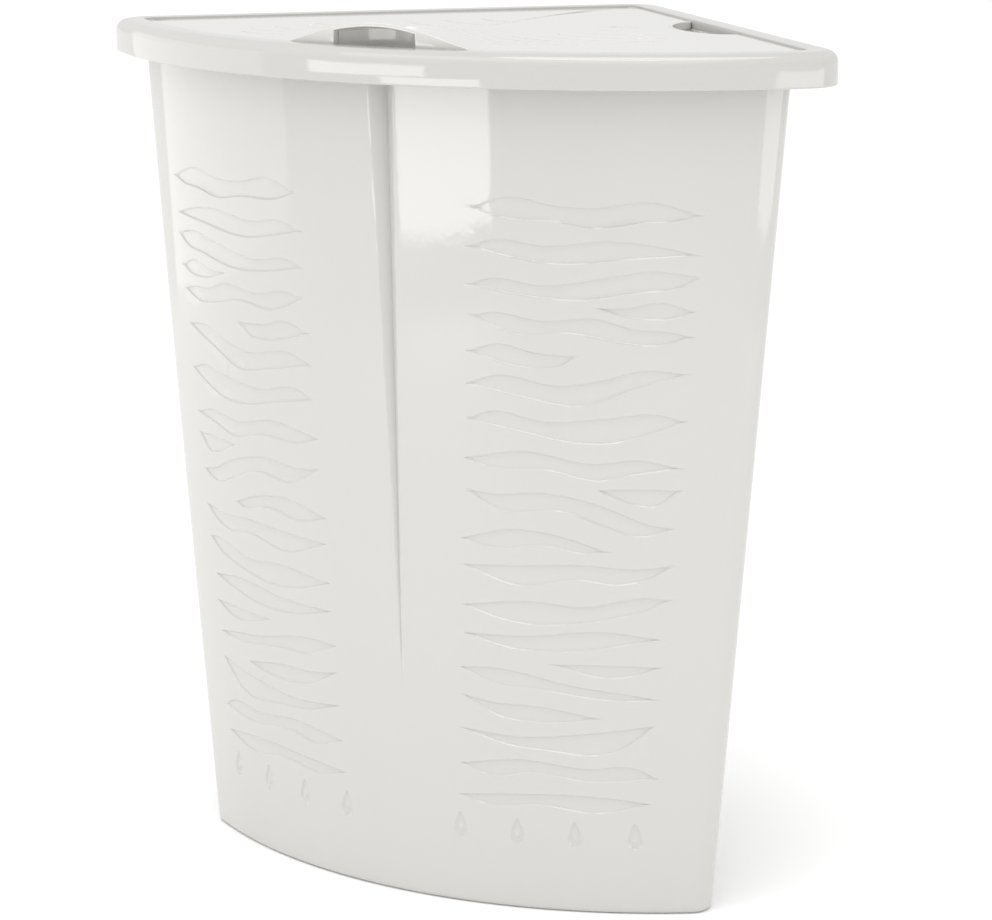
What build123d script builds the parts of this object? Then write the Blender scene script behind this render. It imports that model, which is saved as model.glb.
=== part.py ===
"""Corner laundry hamper with a hinged, inset lid: a moulded tub, a top collar, a lid and two hinge pins.

Seen from above the hamper is a corner shape: two straight back walls at a right angle, which stand
against the walls of a room, and one bowed front wall. +Z is up, the floor is Z = 0, the front faces -Y
and the back corner points along +Y. Millimetres.
"""

from build123d import *
import math
import os

os.makedirs("parts", exist_ok=True)

ROOT2 = math.sqrt(2)

# Corner outlines: (back corner's Y, front's Y, radius of the bowed front, radius of the three corners).
# The back corner's Y is where the two straight walls would meet if the corner were sharp.
TUB_FOOT = (164.5, -107.1, 347.5, 15.0)
TUB_SHOULDER = (212.7, -135.3, 365.0, 13.0)
COLLAR = (254.0, -153.7, 383.4, 28.5)

# Heights
SHOULDER_Z = 551.6      # the tub's shoulder, level with the collar's lower edge
TUB_TOP = 564.0         # the tub's top edge, under the collar's ledge
COLLAR_TOP = 573.6
LID_TOP = 572.2
BASE_THICK = 3.0
WALL = 2.2
FOOT_ROUND = 4.0        # rounding of the tub's lowest outer edge

# Drops: a row of teardrop recesses above the foot, mirrored about the front centre
DROP_X = (44.5, 84.2, 121.2, 158.4)
DROP_Z = 55.7
DROP_WIDTH = 10.0
DROP_HEIGHT = 18.5
DROP_DEPTH = 1.0
DROP_SWELL = 5.0        # how far the drop's round end carries on upwards before it narrows
DROP_NIB = (1.0, 5.5)   # where its sides aim for before they meet at the tip

# Crease: a fold up the front, a little right of the centre, that widens and deepens from foot to top
CREASE_HALF = 9.5
CREASE_DEPTH = 9.0
CREASE_FOOT = 150.0
CREASE_X = (5.1, 6.2)   # its middle at its foot and at the tub's top
CREASE_START = 0.06     # its size at its foot, as a share of its size at the top
RIB_RUN = 30.0          # how far the rib inside the tub starts below the crease
RIB_ROOT = 1.0          # how deep the rib's edges lie in the wall, from outside

# Collar
COLLAR_ROUND = 8.0      # rounding of the top outer edge
COLLAR_LOWER_ROUND = 1.2
STRIP_THICK = 2.8       # plastic over the hollow under the top strip
HOLLOW_STEP = 3.0       # how much narrower the hollow is beside the rounded edge
STRIP = 20.0            # width of the flat top strip around the lid's recess
LEDGE_TOP = 566.7
LEDGE_IN = 35.0         # from the collar's outer face to the ledge's inner edge
SPIGOT_FOOT = 550.0     # the skirt inside the tub's mouth
SPIGOT_WALL = 2.0
SPIGOT_GAP = 0.4
SPIGOT_LAP = 1.0        # how far the skirt runs up into the ledge
NOTCH_HALF = 14.0       # half the width of the skirt's notch for the tub's crease

# Lid
LID_GAP = 0.6           # between the lid's edge and the recess
LID_CORNER = 18.0       # rounder than the recess, so each corner shows a small gap
LID_THICK = 3.0
BAND_FOOT = 567.0       # underside of the stiffening band along the lid's edge
BAND_WIDTH = 3.5

# Hood: the raised arch over the hand opening at the lid's front edge
HOOD_HALF = 76.0
HOOD_HIGH = 16.3
HOOD_LONG = 118.0
HOOD_TAIL_HALF = 30.0
HOOD_TAIL_HIGH = 1.5
HOOD_WALL = 2.2
HOOD_ROOT = 1.5         # how far the hood's block reaches down into the lid
HOLLOW_ROOT = 1.8       # and the block of its hollow
HOOD_CURVE = ((0.78, 0.1), (0.42, 1.0))     # the arch's handles, as shares of half its width and its height
HAND_HALF = 30.5        # half the width of the hand opening
HAND_SIDE_Z = 581.8     # height of the opening at its two sides
HAND_TOP_Z = 585.4      # and at its middle
HAND_DEEP = 6.0         # how far in from the lid's edge its cut runs
POCKET_WALL = 2.0       # the half-round wall behind the opening

# Finger bite in the right-hand back edge: half an ellipse
BITE_ALONG = 23.0       # its centre, along the edge from the point nearest the Z axis
BITE_HALF = 51.0
BITE_DEEP = 26.0

# Hinge along the left-hand back edge
BARREL_R = 3.2
PIN_R = 2.0
PIN_GAP = 0.05
HINGE_CUT = 20.0        # height of the cuts that free the barrel
PIN_CHAMFER = 0.5
TROUGH_R = 3.7
PIN_LONG = 25.0
BORE_SPARE = 10.0       # room behind each pin, so that it can be pushed in to free the lid
EAR_GAP = 0.9           # between the barrel's end and the ear that holds the pin
EAR_REACH = 10.0
EAR_TOP = 572.2
EAR_END = 1.0           # plastic beyond the pin's outer end

OVERRUN = 1.0           # how far a cut starts outside the face it opens
THROUGH = 60.0          # longer than any cut through the lid has to be


def inset(outline, distance, corner=None):
    """An outline moved inwards by a distance, with its corners reduced to suit or set."""
    back, front, bow, round_r = outline
    if corner is None:
        corner = max(round_r - distance, 1.0)
    return (back - distance * ROOT2, front + distance, bow - distance, corner)


def tub_outline(height):
    """The tub's outer outline at a height, on the straight taper from foot to shoulder."""
    share = height / SHOULDER_Z
    return tuple(low + (high - low) * share for low, high in zip(TUB_FOOT, TUB_SHOULDER))


def corner_face(outline):
    """A flat face inside a corner outline: straight, bowed front, straight, with rounded corners."""
    back, front, bow, round_r = outline
    rise = back - front - bow
    side = (rise + math.sqrt(2 * bow**2 - rise**2)) / 2
    with BuildSketch() as face:
        with BuildLine():
            Line((0, back), (side, back - side))
            ThreePointArc((side, back - side), (0, front), (-side, back - side))
            Line((-side, back - side), (0, back))
        make_face()
        fillet(face.vertices(), round_r)
    return face.sketch


def front_y(x, height):
    """The Y of the tub's bowed front at an X and a height."""
    front, bow = tub_outline(height)[1:3]
    return front + bow - math.sqrt(bow**2 - x**2)


def along_hinge(along, out, height):
    """A point from its place along the hinge edge, its distance out to that edge, and its height."""
    return ((along - out) / ROOT2, (along + out) / ROOT2, height)


# Places that follow from the sizes above
lid_outline = inset(COLLAR, STRIP + LID_GAP, LID_CORNER)
lid_under = LID_TOP - LID_THICK
edge_out = lid_outline[0] / ROOT2                 # the lid's hinge edge, out from the Z axis
hinge_out = edge_out - BARREL_R
hinge_z = LID_TOP - BARREL_R
bow_centre_y = lid_outline[1] + lid_outline[2]
corner_cut = LID_CORNER - math.sqrt(LID_CORNER**2 - (LID_CORNER - BARREL_R)**2)
barrel_back = edge_out - corner_cut
front_corner = bow_centre_y / ROOT2 - math.sqrt(lid_outline[2]**2 - (edge_out - bow_centre_y / ROOT2)**2)
barrel_front = front_corner + corner_cut
# Both planes have the hinge line through their origin; the first one's +Y points into the lid
hinge_along_back = Plane(along_hinge(0, hinge_out, hinge_z), x_dir=(0, 0, 1), z_dir=(1, 1, 0))
hinge_along_front = Plane(along_hinge(0, hinge_out, hinge_z), x_dir=(0, 0, 1), z_dir=(-1, -1, 0))
hinge_ends = {"back": (hinge_along_back, barrel_back), "front": (hinge_along_front, -barrel_front)}


# Tub: a tapered shell with a flat base
with BuildPart() as tub:
    with BuildSketch():
        add(corner_face(tub_outline(0)))
    with BuildSketch(Plane.XY.offset(TUB_TOP)):
        add(corner_face(tub_outline(TUB_TOP)))
    loft(ruled=True)
    fillet(tub.edges().group_by(Axis.Z)[0], FOOT_ROUND)
    with BuildSketch(Plane.XY.offset(BASE_THICK)):
        add(corner_face(inset(tub_outline(BASE_THICK), WALL)))
    with BuildSketch(Plane.XY.offset(TUB_TOP)):
        add(corner_face(inset(tub_outline(TUB_TOP), WALL)))
    loft(ruled=True, mode=Mode.SUBTRACT)
    # A rib inside the front wall backs the crease, so that the wall stays as thick when the crease is cut
    rib_cover = WALL * math.hypot(CREASE_HALF, CREASE_DEPTH) / CREASE_HALF
    rib_spread = (rib_cover - RIB_ROOT) * CREASE_HALF / CREASE_DEPTH
    crease_ends = ((CREASE_FOOT, CREASE_X[0], CREASE_START), (TUB_TOP, CREASE_X[1], 1.0))
    rib_ends = ((CREASE_FOOT - RIB_RUN, CREASE_X[0], OVERRUN, WALL),)
    for height, middle_x, share in crease_ends:
        rib_ends += ((height, middle_x, CREASE_HALF * share + rib_spread, CREASE_DEPTH * share + rib_cover),)
    for height, middle_x, half, deep in rib_ends:
        with BuildSketch(Plane.XY.offset(height)):
            Polygon((middle_x - half, front_y(middle_x - half, height) + RIB_ROOT),
                    (middle_x + half, front_y(middle_x + half, height) + RIB_ROOT),
                    (middle_x, front_y(middle_x, height) + deep), align=None)
    loft(ruled=True)
    for height, middle_x, share in crease_ends:
        left, right = middle_x - CREASE_HALF * share, middle_x + CREASE_HALF * share
        with BuildSketch(Plane.XY.offset(height)):
            Polygon((left, front_y(left, height) - OVERRUN), (right, front_y(right, height) - OVERRUN),
                    (right, front_y(right, height)),
                    (middle_x, front_y(middle_x, height) + CREASE_DEPTH * share),
                    (left, front_y(left, height)), align=None)
    loft(ruled=True, mode=Mode.SUBTRACT)
    front, bow = tub_outline(DROP_Z)[1:3]
    nib_x, nib_y = DROP_NIB
    for side_x in DROP_X + tuple(-x for x in DROP_X):
        turn = math.asin(side_x / bow)
        outward = (math.sin(turn), -math.cos(turn), 0)
        middle = (bow * outward[0], front + bow + bow * outward[1], DROP_Z)
        with BuildSketch(Plane(middle, x_dir=(math.cos(turn), math.sin(turn), 0), z_dir=outward)):
            with BuildLine():
                belly = -DROP_HEIGHT / 2 + DROP_WIDTH / 2
                tip = (0, DROP_HEIGHT / 2)
                ThreePointArc((-DROP_WIDTH / 2, belly), (0, -DROP_HEIGHT / 2), (DROP_WIDTH / 2, belly))
                Bezier((DROP_WIDTH / 2, belly), (DROP_WIDTH / 2, belly + DROP_SWELL), (nib_x, nib_y), tip)
                Bezier(tip, (-nib_x, nib_y), (-DROP_WIDTH / 2, belly + DROP_SWELL), (-DROP_WIDTH / 2, belly))
            make_face()
        extrude(amount=DROP_DEPTH, both=True, mode=Mode.SUBTRACT)
tub.part.label = "tub"

# Rim collar: a hollow frame with a recess and ledge for the lid, and a skirt inside the tub's mouth
spigot_outline = inset(tub_outline(SPIGOT_FOOT), WALL + SPIGOT_GAP)
with BuildPart() as collar:
    with BuildSketch(Plane.XY.offset(SHOULDER_Z)):
        add(corner_face(COLLAR))
    extrude(amount=COLLAR_TOP - SHOULDER_Z)
    fillet(collar.edges().group_by(Axis.Z)[-1], COLLAR_ROUND)
    fillet(collar.edges().group_by(Axis.Z)[0], COLLAR_LOWER_ROUND)
    with BuildSketch(Plane.XY.offset(LEDGE_TOP)):
        add(corner_face(inset(COLLAR, STRIP)))
    extrude(amount=COLLAR_TOP, mode=Mode.SUBTRACT)
    with BuildSketch(Plane.XY.offset(SHOULDER_Z)):
        add(corner_face(inset(COLLAR, LEDGE_IN)))
    extrude(amount=COLLAR_TOP, mode=Mode.SUBTRACT)
    # The hollow under the top strip is stepped, to follow the rounded edge at an even thickness
    for cover, roof in ((WALL, COLLAR_TOP - COLLAR_ROUND), (WALL + HOLLOW_STEP, COLLAR_TOP - STRIP_THICK)):
        with BuildSketch(Plane.XY.offset(SHOULDER_Z)):
            add(corner_face(inset(COLLAR, cover)))
            add(corner_face(inset(COLLAR, STRIP - WALL)), mode=Mode.SUBTRACT)
        extrude(amount=roof - SHOULDER_Z, mode=Mode.SUBTRACT)
    with BuildSketch(Plane.XY.offset(SHOULDER_Z)):
        add(corner_face(inset(COLLAR, WALL)))
    extrude(amount=TUB_TOP - SHOULDER_Z, mode=Mode.SUBTRACT)
    with BuildSketch(Plane.XY.offset(SPIGOT_FOOT)):
        add(corner_face(spigot_outline))
        add(corner_face(inset(spigot_outline, SPIGOT_WALL)), mode=Mode.SUBTRACT)
    extrude(amount=TUB_TOP + SPIGOT_LAP - SPIGOT_FOOT)
    with BuildSketch(Plane.XY.offset(SPIGOT_FOOT)):
        with Locations((CREASE_X[1], spigot_outline[1])):
            Rectangle(2 * NOTCH_HALF, 4 * SPIGOT_WALL)
    extrude(amount=TUB_TOP - SPIGOT_FOOT, mode=Mode.SUBTRACT)
    # Hinge trough in the ledge, with an ear for a pin at each end
    with BuildSketch(hinge_along_back.offset(barrel_front)):
        Circle(TROUGH_R)
    extrude(amount=barrel_back - barrel_front, mode=Mode.SUBTRACT)
    for plane, end in hinge_ends.values():
        ear_middle = plane.offset(end + EAR_GAP)
        with BuildSketch(ear_middle):
            with Locations((-(hinge_z - TUB_TOP) / 2 + (EAR_TOP - hinge_z) / 2, 0)):
                Rectangle(EAR_TOP - TUB_TOP, 2 * (BARREL_R + LID_GAP))
        extrude(amount=EAR_REACH)
        with BuildSketch(ear_middle):
            Circle(PIN_R + PIN_GAP)
        extrude(amount=EAR_REACH - EAR_END, mode=Mode.SUBTRACT)
collar.part.label = "rim_collar"


def hood_block(cover, foot, outline):
    """The hood's tapering arch from its mouth to its low tail, shrunk by a cover and cut to an outline."""
    ends = ((lid_outline[1] - OVERRUN, HOOD_HALF, HOOD_HIGH),
            (lid_outline[1] + HOOD_LONG, HOOD_TAIL_HALF, HOOD_TAIL_HIGH))
    (low_x, low_z), (crown_x, crown_z) = HOOD_CURVE
    with BuildPart() as block:
        for y, half, high in ends:
            wide = half - 2 * cover
            with BuildSketch(Plane((0, y, LID_TOP - cover), x_dir=(1, 0, 0), z_dir=(0, -1, 0))):
                with BuildLine():
                    Bezier((wide, 0), (wide * low_x, high * low_z), (wide * crown_x, high * crown_z), (0, high))
                    Bezier((0, high), (-wide * crown_x, high * crown_z), (-wide * low_x, high * low_z),
                           (-wide, 0))
                    Polyline((-wide, 0), (-wide, -foot), (wide, -foot), (wide, 0))
                make_face()
        loft(ruled=True)
        with BuildSketch(Plane.XY.offset(LID_TOP - foot - cover - OVERRUN)):
            add(corner_face(outline))
        extrude(amount=THROUGH, mode=Mode.INTERSECT)
    return block.part


# Lid: an inset panel with a band along its edge, the hood, the bite and the hinge barrel
with BuildPart() as lid:
    with BuildSketch(Plane.XY.offset(lid_under)):
        add(corner_face(lid_outline))
    extrude(amount=LID_THICK)
    with BuildSketch(Plane.XY.offset(BAND_FOOT)):
        add(corner_face(lid_outline))
        add(corner_face(inset(lid_outline, BAND_WIDTH)), mode=Mode.SUBTRACT)
    extrude(amount=lid_under - BAND_FOOT)
    add(hood_block(0, HOOD_ROOT, lid_outline))
    # Hollow of the hood, open underneath, kept clear of the front wall and of the half-round pocket wall
    with BuildPart(mode=Mode.PRIVATE) as hollow:
        add(hood_block(HOOD_WALL, HOLLOW_ROOT, inset(lid_outline, BAND_WIDTH)))
        with BuildSketch(Plane.XY.offset(BAND_FOOT)):
            with Locations((0, lid_outline[1] + OVERRUN)):
                Circle(HAND_HALF + POCKET_WALL)
                Circle(HAND_HALF, mode=Mode.SUBTRACT)
        extrude(amount=THROUGH, mode=Mode.SUBTRACT)
    add(hollow.part, mode=Mode.SUBTRACT)
    # Hand opening through the hood's front wall and the floor of the pocket
    sill_z = BAND_FOOT - OVERRUN
    with BuildSketch(Plane((0, lid_outline[1] + HAND_DEEP, 0), x_dir=(1, 0, 0), z_dir=(0, -1, 0))):
        with BuildLine():
            Polyline((-HAND_HALF, HAND_SIDE_Z), (-HAND_HALF, sill_z), (HAND_HALF, sill_z),
                     (HAND_HALF, HAND_SIDE_Z))
            ThreePointArc((HAND_HALF, HAND_SIDE_Z), (0, HAND_TOP_Z), (-HAND_HALF, HAND_SIDE_Z))
        make_face()
    extrude(amount=THROUGH, mode=Mode.SUBTRACT)
    # The hinge side ends in its round barrel
    with BuildSketch(hinge_along_back.offset(barrel_front - LID_CORNER)):
        with Locations((0, -BARREL_R)):
            Rectangle(HINGE_CUT, 2 * BARREL_R)
    extrude(amount=barrel_back - barrel_front + 2 * LID_CORNER, mode=Mode.SUBTRACT)
    with BuildSketch(hinge_along_back.offset(barrel_front)):
        Circle(BARREL_R)
    extrude(amount=barrel_back - barrel_front)
    for plane, end in hinge_ends.values():
        with BuildSketch(plane.offset(end)):
            Rectangle(HINGE_CUT, 4 * BARREL_R)
        extrude(amount=THROUGH / 2, mode=Mode.SUBTRACT)
        with BuildSketch(plane.offset(end - PIN_LONG + EAR_REACH - BORE_SPARE)):
            Circle(PIN_R + PIN_GAP)
        extrude(amount=THROUGH, mode=Mode.SUBTRACT)
    # Finger bite
    bite_x = (edge_out + BITE_ALONG) / ROOT2
    bite_y = (edge_out - BITE_ALONG) / ROOT2
    with BuildSketch(Plane((bite_x, bite_y, sill_z), x_dir=(1, -1, 0), z_dir=(0, 0, 1))):
        Ellipse(BITE_HALF, BITE_DEEP)
    extrude(amount=THROUGH, mode=Mode.SUBTRACT)
lid.part.label = "lid"

export_step(tub.part, "parts/tub.step")
export_step(collar.part, "parts/rim_collar.step")
export_step(lid.part, "parts/lid.step")

# Hinge pins: each half in the lid's barrel and half in its ear
for name, (plane, end) in hinge_ends.items():
    with BuildPart() as pin:
        with BuildSketch(plane.offset(end - PIN_LONG + EAR_REACH - EAR_END)):
            Circle(PIN_R)
        extrude(amount=PIN_LONG)
        chamfer(pin.edges(), PIN_CHAMFER)
    pin.part.label = f"hinge_pin_{name}"
    export_step(pin.part, f"parts/hinge_pin_{name}.step")
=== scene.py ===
"""Corner laundry hamper with an inset, hinged lid, as moulded in off-white gloss plastic.

Sizes are worked out in millimetres and put into the meshes in metres. Seen from above, every outline is a
corner: a bowed front facing -Y and two straight walls at a right angle whose corner points along +Y.
An outline is (back corner's Y, front's Y, radius of the bow, radius of the corners).
"""

import math

import bpy
import numpy as np
from mathutils import Matrix, Vector


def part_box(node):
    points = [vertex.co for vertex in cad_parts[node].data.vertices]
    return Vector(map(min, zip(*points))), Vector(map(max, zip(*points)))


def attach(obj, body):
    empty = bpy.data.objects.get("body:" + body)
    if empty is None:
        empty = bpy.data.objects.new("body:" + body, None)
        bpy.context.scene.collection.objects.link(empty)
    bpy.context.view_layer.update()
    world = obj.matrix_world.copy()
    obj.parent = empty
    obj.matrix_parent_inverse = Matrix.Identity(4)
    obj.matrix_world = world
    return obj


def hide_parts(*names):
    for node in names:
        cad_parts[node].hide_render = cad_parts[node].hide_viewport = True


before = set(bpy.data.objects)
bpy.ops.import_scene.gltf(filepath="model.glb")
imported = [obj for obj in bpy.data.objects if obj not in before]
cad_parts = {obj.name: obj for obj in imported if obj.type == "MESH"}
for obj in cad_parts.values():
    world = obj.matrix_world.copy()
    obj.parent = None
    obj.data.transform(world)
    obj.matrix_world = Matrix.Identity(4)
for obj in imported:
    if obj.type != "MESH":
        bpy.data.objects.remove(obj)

bl_info = {
    "name": "Corner Hamper",
    "version": (1, 0, 0),
    "blender": (4, 5, 0),
    "location": "3D View > Sidebar > Hamper",
    "description": "Builds a corner laundry hamper: tub, rim collar, hinged lid and their plastic finish",
    "category": "Add Mesh",
}

MM = 0.001
ROOT2 = math.sqrt(2)
WALL_TURN = math.radians(135)       # a straight wall's outward direction, turned from -Y
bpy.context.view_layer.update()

# Heights read from the fixed frame, in millimetres
COLLAR_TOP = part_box("rim_collar")[1].z / MM
SPIGOT_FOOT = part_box("rim_collar")[0].z / MM
TUB_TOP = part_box("tub")[1].z / MM
HOOD_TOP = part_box("lid")[1].z / MM
HINGE_Z = (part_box("hinge_pin_back")[0].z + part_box("hinge_pin_back")[1].z) / 2 / MM

# Outlines of the mouldings
TUB_FOOT = (164.5, -107.1, 347.5, 15.0)
TUB_SHOULDER = (212.7, -135.3, 365.0, 13.0)
SHOULDER_Z = 551.6
COLLAR = (254.0, -153.7, 383.4, 28.5)
LID = (224.867, -133.1, 362.8, 18.0)

# Wall sizes
WALL = 2.2
BASE_THICK = 3.0
FOOT_ROUND = 4.0
LEDGE_TOP = 566.7
LID_TOP = 572.2
LID_UNDER = 569.2
BAND_FOOT = 567.0
BARREL_R = 3.2
HINGE_ROUND = 2.4       # rounding of the lid's top edge over the barrel, which still clears the trough
TROUGH_R = 3.7
HINGE_IN = 23.8         # the hinge line, in from the collar's outer face
NOTCH_HALF = 14.5       # half the width of the skirt's notch for the crease
HINGE_OUT = COLLAR[0] / ROOT2 - HINGE_IN        # the hinge line's distance from the Z axis
EARS = ((152.15, 162.0), (-203.4, -193.5))      # the two ears' spans along the hinge line
EAR_GAP = 0.9           # between an ear and the barrel's end

# Front crease, which widens and deepens from its foot to the tub's top
CREASE_HALF = 9.5
CREASE_FOOT = 150.0
CREASE_PLACE = 0.0235           # its middle, as a share of half the bow, right of the centre
ROW_GUARD = 0.4                 # from a wave's edge to the row of points that keeps its shading to itself
SHORT_WAVE = 115.0              # a wave shorter than this leaves its rows free beyond its tips
ROW_GAP = 0.3                   # the least distance between two rows
CREASE_STEP = 0.75              # between the columns across it

# Waves on one half of the front, top to bottom. Each is a leaf: its two tips as (along the bow, height),
# then the points of its upper edge and of its lower edge between the tips.
WAVES = (
    ((67, 475), (214, 471.5), ((90, 482.5), (123, 477.5), (143, 476.5), (183, 480.5)),
     ((80, 470), (123, 466.5), (148, 463), (177, 466.5), (197, 467.5))),
    ((63, 449.5), (212, 446), ((80, 455), (113, 452), (157, 455.5), (197, 450)),
     ((97, 442.5), (113, 440), (173, 443.5))),
    ((63, 425), (212, 432.5), ((73, 429), (113, 426.5), (160, 433.5), (183, 436.5)),
     ((100, 418.5), (133, 416.5), (170, 421.5), (207, 429))),
    ((143, 412.5), (208, 410), ((163, 412.5), (190, 416)), ((173, 405), (201, 407))),
    ((63, 405), (208, 393.5), ((80, 408), (110, 403.5), (147, 405.5), (170, 399), (190, 397.5)),
     ((93, 393.5), (130, 395), (163, 389), (180, 387.5))),
    ((61, 381.5), (133, 381), ((80, 387.5), (107, 382.5)), ((93, 372.5), (107, 371.5), (123, 374))),
    ((59, 360), (204, 369.5), ((77, 366.5), (123, 361.5), (150, 366), (177, 372.5)),
     ((97, 352.5), (133, 347.5), (167, 358.5))),
    ((58, 336.5), (202, 338.5), ((73, 342.5), (113, 337.5), (153, 341), (183, 343.5)),
     ((93, 330), (133, 323), (153, 323.5), (190, 334))),
    ((55, 310.5), (199, 307.5), ((97, 317.5), (143, 310.5), (170, 313.5)),
     ((70, 305.5), (113, 304.5), (143, 298.5), (170, 303.5))),
    ((143, 293), (197, 293), ((160, 294), (180, 294)), ((170, 282.5), (180, 281.5))),
    ((55, 290), (194, 267.5), ((73, 288), (113, 290), (147, 282.5), (177, 270.5)),
     ((80, 276.5), (120, 277.5), (150, 267.5), (170, 261.5))),
    ((51, 256), (150, 251.5), ((90, 265), (127, 259.5)), ((77, 250), (107, 254), (137, 249.5))),
    ((51, 238.5), (192, 243), ((73, 239.5), (137, 242.5), (170, 240.5)),
     ((90, 226), (130, 231.5), (157, 229), (180, 235))),
    ((50, 211), (190, 219.5), ((103, 216.5), (130, 214), (177, 221)),
     ((83, 201.5), (153, 206), (170, 210))),
    ((49, 191.5), (185, 192.5), ((93, 192.5), (147, 197.5)), ((87, 182.5), (113, 181.5), (163, 188.5))),
    ((110, 174), (184, 173.5), ((135, 174.5), (160, 174.5)), ((150, 165), (165, 167))),
    ((47, 167.5), (183, 151), ((73, 169), (130, 159), (160, 155)), ((77, 156), (97, 155.5), (157, 149.5))),
    ((47, 149), (143, 137.5), ((73, 145), (100, 144.5)), ((77, 134.5), (97, 132.5), (120, 133.5))),
    ((44, 125.5), (179, 133.5), ((90, 122.5), (137, 127.5)), ((83, 115), (103, 113.5), (157, 116.5))),
    ((45, 100), (179, 96), ((90, 106.5), (130, 102.5), (170, 101.5)),
     ((70, 92.5), (93, 96.5), (137, 92.5))),
    ((43, 77.5), (176, 78.5), ((80, 81.5), (120, 83.5), (150, 82)), ((67, 71.5), (100, 74.5), (140, 70.5))),
)

# Drops above the foot: places along the bow, then each one's height, half width, belly and tip
DROPS = (45.0, 85.0, 124.0, 164.0)
DROP_Z = 56.0
DROP_HALF = 5.0
DROP_BELLY = -4.5       # centre of the drop's round end, from the drop's own middle
DROP_TIP = 9.5
DROP_STEP = 1.6         # width of the slope along a drop's edge
BEAD_STEP = 1.5         # and round the bead in it

# Leaves on the lid: (start X, start Y, end X, end Y, sag towards the front, half width)
LID_LEAVES = (
    (50, 71, 86, 82, 4, 3.0), (51, 50, 100, 56, 8, 3.4), (50, 29, 116, 36, 11, 3.6),
    (52, 9, 136, 16, 14, 3.8),
    (38, -1, 147, -6, 18, 4.0), (24, -11, 145, -25, 20, 4.0), (10, -19, 138, -42, 18, 4.0),
    (-2, -30, 118, -59, 14, 3.8), (-8, -43, 94, -74, 8, 3.4),
    (-50, 90, -6, 72, 4, 3.4), (-66, 68, -3, 44, 6, 3.8), (-86, 50, -12, 18, 8, 3.8),
    (-138, 12, -104, -4, 3, 3.0), (-130, -8, -98, -26, 4, 3.2), (-146, -26, -106, -44, 4, 3.2),
    (-152, -46, -108, -62, 4, 3.2), (-144, -68, -102, -80, 3, 3.0),
)

LEAF_STEP = 2.3         # width of the slope along a leaf's edge

# Hood over the hand opening, and the ridge behind it
HOOD_HALF = 76.0
HOOD_FADE = 215.0
RIDGE_HALF = 16.0
RIDGE_HIGH = 1.6
HOOD_FALL = 2.3         # power by which the crest falls off
HOOD_ROUND = 1.5        # power of the arch's curve across
NARROW_BY = 150.0       # behind the front edge, where the hood has narrowed to the ridge
RIDGE_FROM = 90.0       # where the ridge has its full height
RIDGE_FADE = (250.0, 85.0)      # where the ridge starts to fade, and over what length
HAND_HALF = 30.5
HAND_SIDE_Z = 581.8
HAND_TOP_Z = 585.4
POCKET_WALL = 2.0
HAND_DEEP = 12.0        # from the inner face of the lid's front edge to the pocket wall

# Finger bite in the right-hand back edge
BITE_ALONG = 23.0
BITE_HALF = 51.0
BITE_DEEP = 26.0
BITE_STEEP = 2.6        # the steepest slope of the bite's ends
LID_MIDDLE = (20.0, -12.0)

# Edges sharper than these angles, in degrees, stay crisp
TUB_CRISP = 24
COLLAR_CRISP = 32
LID_CRISP = 38

# Studio, in metres. Each soft box: name, middle, the point it faces, width, height and power in watts
FLOOR_HALF = 60.0
FLOOR_ROUGHNESS = 0.9
SOFT_BOXES = (
    ("front_box", (-0.357, -1.545, 0.19), (0.03, -0.13, 0.19), 0.63, 0.215, 1.5),
    ("rim_box", (-0.73, -1.41, 0.41), (0.0, -0.13, 0.41), 0.787, 0.17, 1.4),
    ("right_box", (1.554, -0.2, 0.285), (0.235, -0.03, 0.285), 1.385, 0.37, 3.4),
    ("left_box", (-1.9, -0.35, 0.5), (0.0, -0.1, 0.3), 1.8, 1.0, 3.6),
    ("top_box", (0.0, -1.0, 2.0), (0.0, 0.0, 0.35), 2.4, 1.0, 8.0),
)
SUN_POWER = 0.9
SUN_WIDE = 35           # degrees across, so that its shadows are soft
SUN_TILT = (8, 0, 25)   # degrees turned about X, Y and Z, from straight down

# Camera: place in metres, the turns of its view in radians, lens and sensor in millimetres
CAMERA_PLACE = (1.06198, -1.82, 0.75945)
CAMERA_TURN = 0.5183
CAMERA_DOWN = 0.2252
CAMERA_ROLL = -0.003
CAMERA_LENS = 114.0
CAMERA_SENSOR = 36.0
CAMERA_SHIFT = (-0.0159, 0.0029)


class HamperSizes(bpy.types.PropertyGroup):
    wave_depth: bpy.props.FloatProperty(
        name="Wave depth", description="How far the waves are sunk into the front", default=0.0010,
        min=0.0, max=0.002, unit="LENGTH")
    wave_step: bpy.props.FloatProperty(
        name="Wave step", description="Width of the slope along a wave's edge", default=0.0012,
        min=0.0005, max=0.004, unit="LENGTH")
    drop_depth: bpy.props.FloatProperty(
        name="Drop depth", description="How far the drops above the foot are sunk", default=0.0010,
        min=0.0, max=0.002, unit="LENGTH")
    crease_depth: bpy.props.FloatProperty(
        name="Crease depth", description="Depth of the front crease at the tub's top", default=0.009,
        min=0.0, max=0.012, unit="LENGTH")
    leaf_depth: bpy.props.FloatProperty(
        name="Lid leaf depth", description="How far the leaves are sunk into the lid", default=0.0018,
        min=0.0, max=0.0025, unit="LENGTH")


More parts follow.
